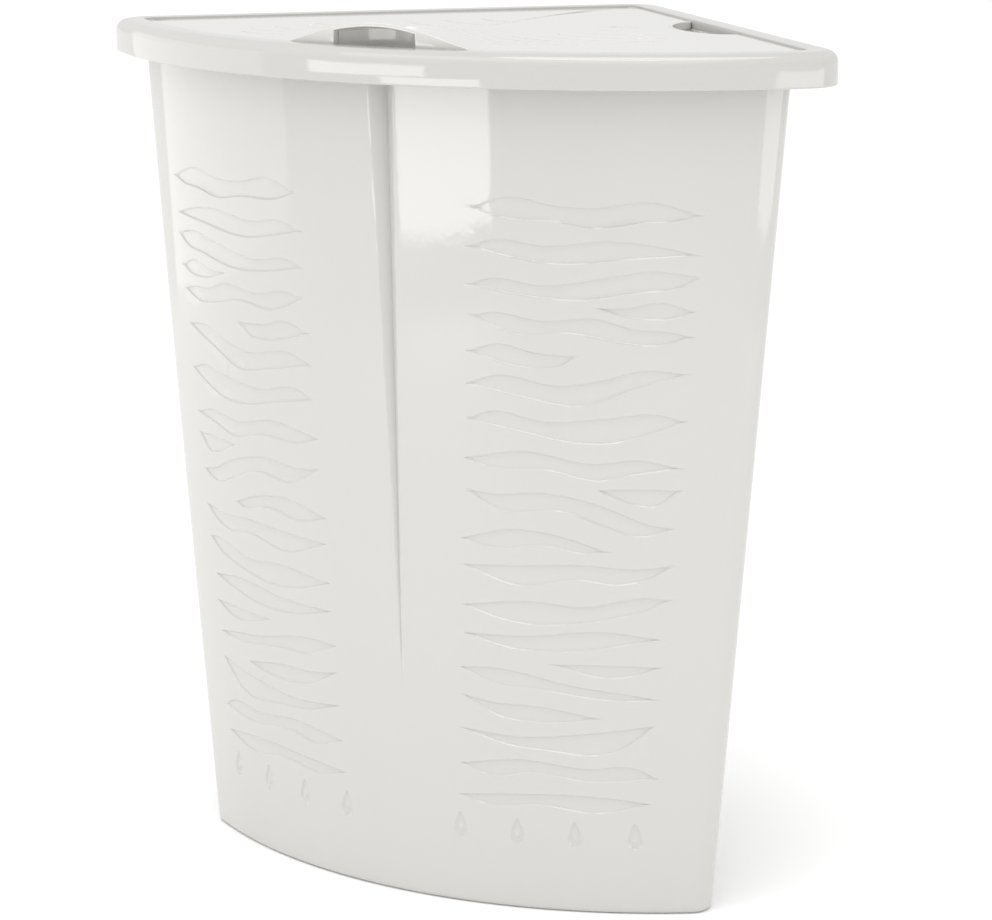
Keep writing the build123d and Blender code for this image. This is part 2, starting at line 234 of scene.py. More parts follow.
class HamperFinish(bpy.types.PropertyGroup):
    tub_colour: bpy.props.FloatVectorProperty(
        name="Tub", description="Colour of the tub", subtype="COLOR", size=3, min=0.0, max=1.0,
        default=(0.560, 0.552, 0.529))
    # Painted shade: the collar is the same off-white plastic as the tub, set a little darker to stand in for
    # the shade it shows.
    rim_colour_painted_shade: bpy.props.FloatVectorProperty(
        name="Collar", description="Colour of the rim collar", subtype="COLOR", size=3,
        min=0.0, max=1.0, default=(0.525, 0.516, 0.494))
    # Painted light: the lid is the same off-white plastic as the tub, set lighter to stand in for the light
    # falling on its top.
    lid_colour_painted_light: bpy.props.FloatVectorProperty(
        name="Lid", description="Colour of the lid", subtype="COLOR", size=3, min=0.0, max=1.0,
        default=(0.655, 0.645, 0.620))
    pin_colour: bpy.props.FloatVectorProperty(
        name="Pins", description="Colour of the hinge pins", subtype="COLOR", size=3, min=0.0, max=1.0,
        default=(0.560, 0.548, 0.520))
    roughness: bpy.props.FloatProperty(
        name="Roughness", description="Middle roughness of the gloss plastic", default=0.05,
        min=0.02, max=1.0, subtype="FACTOR")
    floor_colour: bpy.props.FloatVectorProperty(
        name="Floor", description="Colour of the studio floor", subtype="COLOR", size=3, min=0.0, max=1.0,
        default=(0.97, 0.97, 0.97))
    soft_light: bpy.props.FloatProperty(
        name="Soft light", description="Strength of the pale light all round", default=0.84, min=0.0, max=3.0)


# ---------------------------------------------------------------------------------- outlines and grids


def inset(outline, distance, corner=None):
    """An outline moved inwards: the back corner by the distance times root 2, the front by the distance,
    and both radii less the distance, the corner's never under 1 mm."""
    back, front, bow, round_r = outline
    if corner is None:
        corner = np.maximum(round_r - distance, 1.0)
    return (back - distance * ROOT2, front + distance, bow - distance, corner + 0.0 * distance)


def tub_outline(height):
    """The tub's outer outline at a height: foot and shoulder mixed in proportion to the height."""
    share = height / SHOULDER_Z
    return tuple(low + (high - low) * share for low, high in zip(TUB_FOOT, TUB_SHOULDER))


def bow_turn(outline):
    """Where the bow ends: the direction, from -Y, in which the corner's centre lies from the bow's centre."""
    back, front, bow, round_r = outline
    out = (back - front - bow) / ROOT2 - round_r
    along = np.sqrt((bow - round_r) ** 2 - out**2)
    return np.arctan2(out + along, along - out), out, along


class Stations:
    """Columns round an outline. The right half runs front, corner, wall, back corner, each by its share;
    the left half is its mirror, so that the columns close into a ring, counterclockwise from above."""

    def __init__(self, front, corner, wall, back):
        kinds = np.concatenate([np.full(len(s), k) for k, s in enumerate((front, corner, wall, back))])
        shares = np.concatenate((front, corner, wall, back))
        self.kind = np.concatenate((kinds, kinds[1:-1][::-1]))
        self.share = np.concatenate((shares, shares[1:-1][::-1]))
        self.side = np.concatenate((np.ones(len(kinds)), -np.ones(len(kinds) - 2)))

    def place(self, outline):
        """Points and outward directions of an outline at the columns. Front: the bow's circle by its angle.
        Corner: the corner's circle from the bow's end to the wall's direction. Wall: straight between the
        two corners. Back: the back corner's circle from the wall's direction to +Y."""
        back, front, bow, round_r = [np.asarray(v, float) + 0.0 * self.share for v in outline]
        turn, out, along = bow_turn((back, front, bow, round_r))
        middle = front + bow
        corner_x = (out + along) / ROOT2
        corner_y = middle + (out - along) / ROOT2
        last_y = back - round_r * ROOT2
        angle = np.select(
            [self.kind == 0, self.kind == 1, self.kind == 2],
            [self.share * turn, turn + self.share * (WALL_TURN - turn), WALL_TURN],
            WALL_TURN + self.share * (math.pi - WALL_TURN))
        dir_x, dir_y = np.sin(angle), -np.cos(angle)
        along_wall = np.where(self.kind == 2, self.share, np.where(self.kind == 3, 1.0, 0.0))
        base_x = corner_x * (1 - along_wall)
        base_y = corner_y + (last_y - corner_y) * along_wall
        radius = np.where(self.kind == 0, bow, round_r)
        x = np.where(self.kind == 0, 0.0, base_x) + radius * dir_x
        y = np.where(self.kind == 0, middle, base_y) + radius * dir_y
        return x * self.side, y, dir_x * self.side, dir_y


def smooth(value):
    """A soft step from 0 to 1: half a cosine wave, level at both ends."""
    return 0.5 - 0.5 * np.cos(np.pi * np.clip(value, 0.0, 1.0))


def smooth_line(points, at):
    """A curve through points: cubic pieces whose slope at each point is that of its two neighbours,
    and which stay level beyond the ends."""
    xs, ys = np.array(points, float).T
    slope = np.gradient(ys, xs)
    at = np.clip(at, xs[0], xs[-1])
    k = np.clip(np.searchsorted(xs, at) - 1, 0, len(xs) - 2)
    width = xs[k + 1] - xs[k]
    t = (at - xs[k]) / width
    return ((2 * t**3 - 3 * t**2 + 1) * ys[k] + (t**3 - 2 * t**2 + t) * width * slope[k]
            + (3 * t**2 - 2 * t**3) * ys[k + 1] + (t**3 - t**2) * width * slope[k + 1])


def ring_faces(rings, columns, first, closed):
    """Four-sided faces between each ring of points and the next, and from the last ring to the first
    if the rings close into a loop."""
    k = np.arange(rings if closed else rings - 1)[:, None]
    j = np.arange(columns)[None, :]
    low, high = k * columns, (k + 1) % rings * columns
    nxt = (j + 1) % columns
    return np.stack((low + j, low + nxt, high + nxt, high + j), axis=-1).reshape(-1, 4) + first


def strip_faces(rings, columns, first):
    """Faces of a bar: closed round each ring, open between first and last column, for capped ends."""
    k = np.arange(rings)[:, None]
    j = np.arange(columns - 1)[None, :]
    low, high = k * columns, (k + 1) % rings * columns
    return np.stack((low + j, low + j + 1, high + j + 1, high + j), axis=-1).reshape(-1, 4) + first


class Shell:
    """Points and faces of one piece, gathered from closed parts."""

    def __init__(self):
        self.points, self.faces, self.count = [], [], 0

    def add_bowl(self, x, y, z, start, end):
        """A closed part whose rings (rows of the arrays) run from a first pole to a last pole."""
        rings, columns = x.shape
        self.points += [np.stack((x, y, z), axis=-1).reshape(-1, 3), np.array([start, end], float)]
        self.faces.append(ring_faces(rings, columns, self.count, False))
        j = np.arange(columns)
        nxt = (j + 1) % columns
        pole = self.count + rings * columns
        top = self.count + (rings - 1) * columns
        self.faces.append(np.stack((np.full(columns, pole), self.count + nxt, self.count + j), axis=-1))
        self.faces.append(np.stack((top + j, top + nxt, np.full(columns, pole + 1)), axis=-1))
        self.count = pole + 2

    def add_loop(self, x, y, z):
        """A closed part whose rings themselves close into a loop, as a frame's do."""
        self.points.append(np.stack((x, y, z), axis=-1).reshape(-1, 3))
        self.faces.append(ring_faces(*x.shape, self.count, True))
        self.count += x.size

    def add_bar(self, x, y, z):
        """A closed bar: rows run round its section, columns along it, and each end has one flat face."""
        rings, columns = x.shape
        self.points.append(np.stack((x, y, z), axis=-1).reshape(-1, 3))
        self.faces.append(strip_faces(rings, columns, self.count))
        ring = self.count + np.arange(rings) * columns
        self.faces += [ring[None, :], (ring + columns - 1)[None, ::-1]]
        self.count += x.size

    def make(self, name, crisp):
        """Puts the points, in metres, and the faces into a mesh object; edges sharper than an angle
        stay crisp and all others are shaded smooth."""
        mesh = bpy.data.meshes.new(name)
        points = np.concatenate(self.points) * MM
        faces = [face for group in self.faces for face in group.tolist()]
        mesh.from_pydata(points.tolist(), [], faces)
        mesh.validate()
        mesh.polygons.foreach_set("use_smooth", np.ones(len(mesh.polygons), bool))
        mesh.set_sharp_from_angle(angle=math.radians(crisp))
        mesh.update()
        piece = bpy.data.objects.new(name, mesh)
        bpy.context.scene.collection.objects.link(piece)
        return piece


# ---------------------------------------------------------------------------------------------- finish


def gloss_plastic(name, colour, roughness, grain):
    """Moulded gloss plastic. Colour: a slow drift between a slightly darker and a slightly lighter shade.
    Roughness: a middle value moved a little by soft flow marks drawn out along the height.
    Relief: a fine ripple with a trace of grain, both far shallower than a tenth of a millimetre."""
    material = bpy.data.materials.new(name)
    material.use_nodes = True
    tree = material.node_tree
    nodes, links = tree.nodes, tree.links
    shader = nodes["Principled BSDF"]
    shader.inputs["IOR"].default_value = 1.49
    shader.inputs["Specular IOR Level"].default_value = 0.5
    shader.inputs["Coat Weight"].default_value = 0.12
    shader.inputs["Coat Roughness"].default_value = 0.06
    place = nodes.new("ShaderNodeTexCoord")
    stretch = nodes.new("ShaderNodeMapping")
    stretch.inputs["Scale"].default_value = (1.0, 1.0, 0.35)
    links.new(place.outputs["Object"], stretch.inputs["Vector"])

    def noise(scale, detail, source):
        """A noise texture of a scale and detail on the given coordinates."""
        node = nodes.new("ShaderNodeTexNoise")
        node.inputs["Scale"].default_value = scale
        node.inputs["Detail"].default_value = detail
        links.new(source, node.inputs["Vector"])
        return node.outputs["Fac"]

    def spread(source, low, high):
        """The noise's middle range stretched to run from low to high."""
        node = nodes.new("ShaderNodeMapRange")
        node.inputs["From Min"].default_value = 0.3
        node.inputs["From Max"].default_value = 0.7
        node.inputs["To Min"].default_value = low
        node.inputs["To Max"].default_value = high
        links.new(source, node.inputs["Value"])
        return node.outputs["Result"]

    drift = noise(5.0, 2.0, stretch.outputs["Vector"])
    ramp = nodes.new("ShaderNodeValToRGB")
    ramp.color_ramp.elements[0].position = 0.3
    ramp.color_ramp.elements[0].color = (*[c * 0.985 for c in colour], 1.0)
    ramp.color_ramp.elements[1].position = 0.7
    ramp.color_ramp.elements[1].color = (*[min(c * 1.012, 1.0) for c in colour], 1.0)
    links.new(drift, ramp.inputs["Fac"])
    links.new(ramp.outputs["Color"], shader.inputs["Base Color"])
    flow = noise(22.0, 3.0, stretch.outputs["Vector"])
    links.new(spread(flow, roughness * 0.85, roughness * 1.2), shader.inputs["Roughness"])
    ripple = nodes.new("ShaderNodeBump")
    ripple.inputs["Strength"].default_value = 0.35
    ripple.inputs["Distance"].default_value = 0.00006
    links.new(noise(160.0, 1.0, place.outputs["Object"]), ripple.inputs["Height"])
    fine = nodes.new("ShaderNodeBump")
    fine.inputs["Strength"].default_value = 0.25
    fine.inputs["Distance"].default_value = 0.00001
    links.new(noise(grain, 2.0, place.outputs["Object"]), fine.inputs["Height"])
    links.new(ripple.outputs["Normal"], fine.inputs["Normal"])
    links.new(fine.outputs["Normal"], shader.inputs["Normal"])
    return material


def dress(piece, material, body, slot, *nodes):
    """Gives a new piece its material and its body, and hides the solids that it stands for. The finish slot
    is not used.
    """
    piece.data.materials.append(material)
    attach(piece, body)
    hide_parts(*nodes)


# ------------------------------------------------------------------------------------------------- tub


def wave_edges(wave, along):
    """A wave's upper and lower edge heights at places along the bow; beyond a tip both stay at the tip."""
    left, right, upper, lower = wave
    return (smooth_line((left, *upper, right), along), smooth_line((left, *lower, right), along))


def wave_sink(along, height, step):
    """How deep, from 0 to 1, the waves are sunk at a point: the height below a leaf's upper edge or above
    its lower one, whichever is less, as a soft step over the width of the slope."""
    deep = np.zeros_like(height)
    for wave in WAVES:
        high, low = wave_edges(wave, along)
        inside = np.minimum(high - height, height - low)
        deep = np.maximum(deep, smooth(inside / step) * (inside > 0))
    return deep


def drop_sink(along, height):
    """How deep the drops are sunk: a circle below, narrowing to a point above, with a raised bead inside."""
    up = height - DROP_Z
    rise = np.clip((up - DROP_BELLY) / (DROP_TIP - DROP_BELLY), 0.0, 1.0)
    half = np.where(up < DROP_BELLY, np.sqrt(np.maximum(DROP_HALF**2 - (up - DROP_BELLY) ** 2, 0.0)),
                    DROP_HALF * (1 - rise) ** 0.85 * (1 + 0.35 * rise))
    deep = np.zeros_like(height)
    for middle in DROPS:
        inside = half - np.abs(along - middle)
        bead = 1 - smooth((np.hypot(along - middle, (up - DROP_BELLY - 1.0) * 0.6) - 0.6) / BEAD_STEP)
        deep = np.maximum(deep, smooth(inside / DROP_STEP) * (inside > 0) * (1 - 0.8 * bead))
    return deep


def crease_sink(share, length, height):
    """How deep the crease is, from 0 to 1, at a share of half the bow and at a height: a fold with straight
    sides, full at its middle and none at its edges, whose width and depth grow with the height."""
    grown = np.clip((height - CREASE_FOOT) / (TUB_TOP - CREASE_FOOT), 0.0, 1.0)
    half = np.maximum(CREASE_HALF * grown, 0.1)
    return np.clip(1 - np.abs(share - CREASE_PLACE) * length / half, 0.0, 1.0) * grown


def wave_rows(share, step):
    """Heights of the rows that follow the waves, one line of columns each. Each wave gets rows down the
    slope of its upper edge, one along its middle and rows down its lower edge. Where a wave doesn't reach,
    its rows lie between its neighbours' edges. Rows that would meet are then kept a little apart."""
    reach = []
    for wave in WAVES:
        outline = tub_outline((wave[0][1] + wave[1][1]) / 2)
        reach.append(share * bow_turn(outline)[0] * outline[2])
    edges = [wave_edges(wave, along) for wave, along in zip(WAVES, reach)]
    rows = []
    for k, (wave, along) in enumerate(zip(WAVES, reach)):
        high, low = edges[k]
        if wave[1][0] - wave[0][0] < SHORT_WAVE and 0 < k < len(WAVES) - 1:
            between = (edges[k - 1][1] + edges[k + 1][0]) / 2
            away = smooth((np.maximum(wave[0][0] - along, along - wave[1][0]) - 2.0) / 12.0)
            away = np.where(along > wave[1][0] + 40, away * (wave[1][0] < 160), away)
            high, low = high + (between - high) * away, low + (between - low) * away
        slope = np.minimum(step, (high - low) / 2)
        rows.append(high + ROW_GUARD)
        rows += [high - slope * part for part in (0.0, 0.33, 0.67, 1.0)]
        rows.append((high + low) / 2)
        rows += [low + slope * part for part in (1.0, 0.67, 0.33, 0.0)]
        rows.append(low - ROW_GUARD)
    rows = np.array(rows)
    order = np.arange(len(rows))[:, None] * ROW_GAP
    down = np.minimum.accumulate(rows + order, axis=0) - order
    up = np.maximum.accumulate((rows + order)[::-1], axis=0)[::-1] - order
    return ((down + up) / 2)[::-1]


def tub_stations():
    """Columns of the tub: even along the bow, close together at the crease and at each drop."""
    outline = tub_outline(DROP_Z)
    length = bow_turn(outline)[0] * outline[2]
    fold = CREASE_PLACE * length
    places = [[0.0], np.arange(fold % CREASE_STEP, 17, CREASE_STEP), np.arange(18, length - 1.5, 3.3)]
    places += [np.arange(middle - 6.3, middle + 6.4, 0.9) for middle in DROPS]
    places = np.sort(np.concatenate(places))
    kept = places[np.concatenate(([True], np.diff(places) > 0.3))]
    return Stations(kept / length, np.linspace(0, 1, 9)[:-1], np.linspace(0, 1, 7)[:-1], np.linspace(0, 1, 6))


def make_tub(sizes):
    """The tub, one closed shell: rings from the middle of the underside out to the foot's rounding, up the
    tapered outside, over the top edge, down the inside and back to the middle of the base. On the front,
    each point moves inwards by the depth of the waves, the drops and the crease there."""
    stations = tub_stations()
    step = sizes.wave_step / MM
    on_front = stations.kind == 0
    share = np.where(on_front, stations.share, 1.0)
    rows = wave_rows(share, step)
    level = np.ones_like(share)
    low = [h * level for h in (8.0, 16.0, 25.0, 34.0, 42.0, 45.0, *np.arange(46.0, 67.0, 1.0))]
    high = [h * level for h in (487.0, 498.0, 512.0, 528.0, 542.0, 550.0, 558.0)]
    heights = np.concatenate((np.array(low), rows, np.array(high)))
    x, y, out_x, out_y = stations.place(tub_outline(heights))
    outline = tub_outline(heights)
    length = bow_turn(outline)[0] * outline[2]
    along = share * length
    sink = (sizes.wave_depth * wave_sink(along, heights, step)
            + sizes.drop_depth * drop_sink(along, heights)
            + sizes.crease_depth * crease_sink(share * stations.side, length, heights)) / MM * on_front
    x, y = x - out_x * sink, y - out_y * sink

    def ring(outline, height):
        """One ring of an outline at a height, moved inwards at the crease."""
        px, py, ox, oy = stations.place(outline)
        deep = crease_sink(share * stations.side, bow_turn(outline)[0] * outline[2], height) * on_front
        deep = deep * sizes.crease_depth / MM
        return px - ox * deep, py - oy * deep, height * level

    foot = [ring(inset(tub_outline(0.0), d, 6.0), 0.0) for d in (90.0, 45.0, 12.0)]
    turns = np.radians(np.linspace(0, 90, 6))
    foot += [ring(inset(tub_outline(FOOT_ROUND * (1 - math.cos(t))), FOOT_ROUND * (1 - math.sin(t))),
                  FOOT_ROUND * (1 - math.cos(t))) for t in turns]
    top = [ring(inset(tub_outline(TUB_TOP), d), z)
           for d, z in ((0.0, TUB_TOP - 0.5), (0.15, TUB_TOP - 0.15), (0.5, TUB_TOP), (WALL - 0.5, TUB_TOP),
                        (WALL - 0.15, TUB_TOP - 0.15), (WALL, TUB_TOP - 0.5))]
    inside = [ring(inset(tub_outline(z), WALL + 0.3), z) for z in (545.0, 400.0, 250.0, 100.0, 40.0)]
    inside += [ring(inset(tub_outline(z), WALL + d), z)
               for d, z in ((0.0, BASE_THICK + 4.0), (1.2, BASE_THICK + 1.2), (4.0, BASE_THICK))]
    inside += [ring(inset(tub_outline(0.0), d, 6.0), BASE_THICK) for d in (45.0, 90.0)]
    rings = [np.array([part[axis] for part in foot]) for axis in range(3)]
    rest = [np.array([part[axis] for part in top + inside]) for axis in range(3)]
    shell = Shell()
    shell.add_bowl(*[np.concatenate((a, b, c)) for a, b, c in zip(rings, (x, y, heights), rest)],
                   (0.0, 20.0, 0.0), (0.0, 20.0, BASE_THICK))
    return shell.make("tub_shell", TUB_CRISP)


# ---------------------------------------------------------------------------------------------- collar


def quarter(middle_in, middle_z, radius, first, last, count):
    """Points (distance in, height) along an arc, from one angle to another, 0 being outwards and 90 up."""
    turns = np.radians(np.linspace(first, last, count))
    return [(middle_in - radius * math.cos(t), middle_z + radius * math.sin(t)) for t in turns]


def make_collar():
    """The rim collar, one closed frame and two ears. A section is carried round the corner outline: the
    outer face, the rounded edge, the flat strip, the recess and its ledge, the skirt inside the tub's
    mouth, and the hollow under the strip. Along the hinge wall the ledge dips by a circle's arc, and at the
    crease the skirt is notched."""
    wall = np.concatenate(([0.0, 0.004], np.linspace(0.03, 0.97, 22), [0.996]))
    front = np.concatenate((np.linspace(0, 0.1, 13), np.linspace(0.115, 1, 58)[:-1]))
    stations = Stations(front, np.linspace(0, 1, 15)[:-1], wall, np.linspace(0, 1, 13))
    section = quarter(1.2, SHOULDER_Z + 1.2, 1.2, -90, 0, 5)
    section += [(0.0, 560.0)]
    section += quarter(8.0, COLLAR_TOP - 8.0, 8.0, 0, 84, 11)
    section += [(7.9, COLLAR_TOP), (12.0, COLLAR_TOP), (19.3, COLLAR_TOP), (19.8, COLLAR_TOP - 0.2),
                (20.0, COLLAR_TOP - 0.7), (20.0, LEDGE_TOP + 0.5)]
    rows = [(inset(COLLAR, d), z) for d, z in section]
    ledge = np.concatenate(([20.5], np.linspace(HINGE_IN - 2.9, HINGE_IN + 2.9, 13), [29.0, 34.5]))
    rows += [(inset(COLLAR, d), LEDGE_TOP) for d in ledge]
    rows += [(inset(COLLAR, d), z)
             for d, z in ((35.0, LEDGE_TOP - 0.5), (35.0, TUB_TOP + 0.5), (34.5, TUB_TOP))]
    spigot = inset(tub_outline(SPIGOT_FOOT), WALL + 0.6)
    skirt = [(inset(spigot, 2.0), TUB_TOP + 0.4), (inset(spigot, 2.0), SPIGOT_FOOT + 0.5),
             (inset(spigot, 1.5), SPIGOT_FOOT), (inset(spigot, 0.5), SPIGOT_FOOT),
             (inset(spigot, 0.0), SPIGOT_FOOT + 0.5), (inset(spigot, 0.0), TUB_TOP + 0.4)]
    rows += skirt
    rows += [(inset(COLLAR, d), z)
             for d, z in ((17.8, TUB_TOP + 0.4), (17.8, 569.5), (16.5, 570.8), (8.2, 570.8), (5.0, 569.4),
                          (2.6, 566.0), (2.2, 562.0), (2.2, SHOULDER_Z + 0.4), (1.8, SHOULDER_Z))]
    places = [stations.place(outline) for outline, _ in rows]
    x, y = [np.array([place[axis] for place in places]) for axis in range(2)]
    z = np.array([z for _, z in rows])[:, None] + 0.0 * x
    first = len(section) + len(ledge) + 3
    from_crease = np.abs(stations.share * stations.side - CREASE_PLACE) * bow_turn(spigot)[0] * spigot[2]
    notch = np.clip((NOTCH_HALF - from_crease) / 2.0, 0.0, 1.0) * (stations.kind == 0)
    mouth = z[first:first + len(skirt)]
    z[first:first + len(skirt)] = mouth + (TUB_TOP + 0.4 - mouth) * notch
    on_hinge = (stations.kind == 2) & (stations.side < 0)
    on_hinge = on_hinge & (stations.share > 0.002) & (stations.share < 0.998)
    start = len(section)
    dip = HINGE_Z - np.sqrt(np.maximum(TROUGH_R**2 - (ledge - HINGE_IN) ** 2, 0.0))
    dip = np.where(np.abs(ledge - HINGE_IN) < 2.95, np.minimum(dip, LEDGE_TOP), LEDGE_TOP)
    z[start:start + len(ledge)] = np.where(on_hinge, dip[:, None], LEDGE_TOP)
    shell = Shell()
    shell.add_loop(x, y, z)
    for first, last in EARS:
        out = HINGE_OUT + np.array([3.9, 3.9, 3.3, 0.0, -3.3, -3.9, -3.9])[:, None]
        up = np.array([TUB_TOP + 1.0, 570.6, 571.9, 572.3, 571.9, 570.6, TUB_TOP + 1.0])[:, None]
        along = np.array([first, first + 0.4, last - 0.4, last])[None, :]
        shrink = np.array([0.92, 1.0, 1.0, 0.92])[None, :]
        out = HINGE_OUT + (out - HINGE_OUT) * shrink
        shell.add_bar((along - out) / ROOT2, (along + out) / ROOT2, up + 0.0 * along)
    return shell.make("collar_frame", COLLAR_CRISP)


# ------------------------------------------------------------------------------------------------- lid


def hood_rise(x, y):
    """Height of the hood and ridge above the lid's plane: across, (1 - (x / half width)^2) to the power 1.5;
    along, the crest falls off with the distance behind the front edge and ends in a low ridge that
    fades before the back corner."""
    behind = LID[2] - np.hypot(x, y - LID[1] - LID[2])
    high = (HOOD_TOP - LID_TOP - 0.1) * np.clip(1 - behind / HOOD_FADE, 0.0, 1.0) ** HOOD_FALL
    half = HOOD_HALF - (HOOD_HALF - RIDGE_HALF) * np.clip(behind / NARROW_BY, 0.0, 1.0) ** 0.9
    fade_from, fade_over = RIDGE_FADE
    ridge = RIDGE_HIGH * smooth(behind / RIDGE_FROM) * (1 - smooth((behind - fade_from) / fade_over))
    across = np.clip(1 - (x / half) ** 2, 0.0, 1.0) ** HOOD_ROUND
    narrow = np.clip(1 - (x / (RIDGE_HALF + 4)) ** 2, 0.0, 1.0) ** HOOD_ROUND
    return high * across + ridge * narrow


def leaf_sink(x, y, step):
    """How deep, from 0 to 1, the lid's leaves are sunk. A leaf's middle line sags from its chord by a
    parabola and its half width is a sine's power, so that it is pointed at both ends."""
    deep = np.zeros_like(x)
    for x0, y0, x1, y1, sag, half in LID_LEAVES:
        length = math.hypot(x1 - x0, y1 - y0)
        ax, ay = (x1 - x0) / length, (y1 - y0) / length
        t = np.clip(((x - x0) * ax + (y - y0) * ay) / length, 0.0, 1.0)
        off = -(x - x0) * ay + (y - y0) * ax + sag * 4 * t * (1 - t)
        inside = half * np.sin(np.pi * t) ** 0.7 - np.abs(off)
        deep = np.maximum(deep, smooth(inside / step) * (inside > 0))
    return deep


def lid_stations():
    """Columns of the lid: close together over the hood, in pairs at the sides of the hand opening and
    at the ends of the barrel, and closer along the wall with the bite."""
    length = bow_turn(LID)[0] * LID[2]
    turn_at = LID[2] * math.asin(HAND_HALF / LID[2])
    front = np.concatenate((np.arange(0, turn_at - 1.5, 1.9), [turn_at - 0.25, turn_at + 0.25],
                            np.arange(turn_at + 2.5, 80, 1.9), np.arange(81, length - 1.5, 3.0)))
    wall = np.concatenate(([0.0, 0.002], np.linspace(0.012, 0.988, 104), [0.998]))
    return Stations(front / length, np.linspace(0, 1, 11)[:-1], wall, np.linspace(0, 1, 10))


def in_barrel(x, y):
    """Whether points lie between the two ends of the barrel, measured along the hinge line."""
    along = (x + y) / ROOT2
    return (along > EARS[1][1] + EAR_GAP) & (along < EARS[0][0] - EAR_GAP)


def lid_rim(stations):
    """The lid's outline at the columns. With the bite: along the right-hand wall a point moves inwards by
    half an ellipse, whose ends are no steeper than a set slope. With the two ears cleared: beyond the
    barrel's ends no point lies farther out than the barrel's foot."""
    x, y, _, _ = stations.place(LID)
    along = (x - y) / ROOT2 - BITE_ALONG
    on_wall = (stations.kind == 2) & (stations.side > 0)
    round_in = BITE_DEEP * np.sqrt(np.maximum(1 - (along / BITE_HALF) ** 2, 0.0))
    bite = np.minimum(round_in, BITE_STEEP * np.maximum(BITE_HALF - np.abs(along), 0.0)) * on_wall
    out = (y - x) / ROOT2
    freed = ~in_barrel(x, y) * np.maximum(out - HINGE_OUT + 2 * BARREL_R, 0.0) * (stations.kind != 2)
    return x + (freed - bite) / ROOT2, y - (freed + bite) / ROOT2


def make_lid(sizes):
    """The lid, one closed shell with its hollow hood, and the half-oval pocket wall. Rings run from the
    middle of the underside out to the edge, up the edge's section and back over the top to the middle.
    Along the hinge wall the edge's section is the round barrel; in front of the hand opening the edge's
    foot rises to the opening's arch."""
    stations = lid_stations()
    rim_x, rim_y = lid_rim(stations)
    mid_x, mid_y = LID_MIDDLE
    reach = np.hypot(rim_x - mid_x, rim_y - mid_y)
    on_hinge = (stations.side < 0) & in_barrel(rim_x, rim_y) & ((rim_y - rim_x) / ROOT2 > HINGE_OUT)
    opening = (stations.kind == 0) & (np.abs(rim_x) < HAND_HALF)
    arch = HAND_SIDE_Z + (HAND_TOP_Z - HAND_SIDE_Z) * (1 - (rim_x / HAND_HALF) ** 2)
    top_edge = LID_TOP + hood_rise(rim_x, rim_y)

    plain = [(8.0, LID_UNDER), (3.9, LID_UNDER), (3.5, LID_UNDER - 0.4), (3.5, BAND_FOOT + 0.3),
             (3.2, BAND_FOOT), (0.4, BAND_FOOT), (0.0, BAND_FOOT + 0.4), (0.0, LID_UNDER + 0.3),
             (0.0, LID_TOP - 0.9), (0.06, LID_TOP - 0.55), (0.28, LID_TOP - 0.22), (0.8, LID_TOP),
             (3.4, LID_TOP)]
    barrel = [(8.0, LID_UNDER), (6.35, LID_UNDER - 0.7)]
    barrel += quarter(BARREL_R, HINGE_Z, BARREL_R, -150, -20, 6)
    barrel += quarter(HINGE_ROUND, LID_TOP - HINGE_ROUND, HINGE_ROUND, 0, 90, 5)
    rings_x, rings_y, rings_z = [], [], []
    lift = top_edge - LID_TOP
    for (d0, z0), (d1, z1) in zip(plain, barrel):
        distance = np.where(on_hinge, d1, d0)
        height = np.where(on_hinge, z1, z0)
        share = 1 - distance / reach
        px, py = mid_x + (rim_x - mid_x) * share, mid_y + (rim_y - mid_y) * share
        rise = hood_rise(px, py)
        if z0 > 571.0:
            height = height + np.where(d0 > 0, rise, lift)
        elif d0 > 3.6:
            height = height + rise + np.where(rise > 3.0, 0.6, 0.0)
        else:
            height = np.where(opening, arch + np.clip(z0 - BAND_FOOT, 0.0, 0.8), height)
            height = height + np.where(opening | (z0 < LID_UNDER + 0.2), 0.0, 0.5 * lift)
        rings_x.append(px)
        rings_y.append(py)
        rings_z.append(height)
    shares_in = np.concatenate((np.linspace(0.06, 0.9, 26), [0.94]))
    under_x = mid_x + (rim_x - mid_x) * shares_in[:, None]
    under_y = mid_y + (rim_y - mid_y) * shares_in[:, None]
    under_z = LID_UNDER + hood_rise(under_x, under_y)
    shares_top = np.concatenate((np.linspace(0.975, 0.80, 14), np.linspace(0.79, 0.03, 138)))
    top_x = mid_x + (rim_x - mid_x) * shares_top[:, None]
    top_y = mid_y + (rim_y - mid_y) * shares_top[:, None]
    top_z = LID_TOP + hood_rise(top_x, top_y) - sizes.leaf_depth / MM * leaf_sink(top_x, top_y, LEAF_STEP)
    middle_rise = float(hood_rise(np.array(mid_x), np.array(mid_y)))
    shell = Shell()
    shell.add_bowl(np.concatenate((under_x, rings_x, top_x)), np.concatenate((under_y, rings_y, top_y)),
                   np.concatenate((under_z, rings_z, top_z)),
                   (mid_x, mid_y, LID_UNDER + middle_rise), (mid_x, mid_y, LID_TOP + middle_rise))
    turns = np.radians(np.linspace(0.0, 180.0, 49))[None, :]
    thick = POCKET_WALL * np.array([0.0, 1.0, 1.0, 0.0])[:, None]
    wall_x = (HAND_HALF + thick) * np.cos(turns)
    wall_y = LID[1] + WALL + (HAND_DEEP + thick) * np.sin(turns)
    roof = LID_TOP + hood_rise(wall_x, wall_y) - 1.2
    wall_z = np.where(np.array([False, False, True, True])[:, None], roof, LID_UNDER)
    shell.add_bar(wall_x, wall_y, wall_z)
    return shell.make("lid_panel", LID_CRISP)


# --------------------------------------------------------------------------------------------- studio


def soft_box(name, middle, aim, wide, high, power):
    """A soft rectangular light of a width, height and power, turned to face a point."""
    data = bpy.data.lights.new(name, "AREA")
    data.shape, data.size, data.size_y, data.energy = "RECTANGLE", wide, high, power
    light = bpy.data.objects.new(name, data)
    light.location = middle
    light.rotation_euler = (Vector(aim) - Vector(middle)).to_track_quat("-Z", "Y").to_euler()
    bpy.context.scene.collection.objects.link(light)
    return light


# ------------------------------------------------------------------------------------------ operators


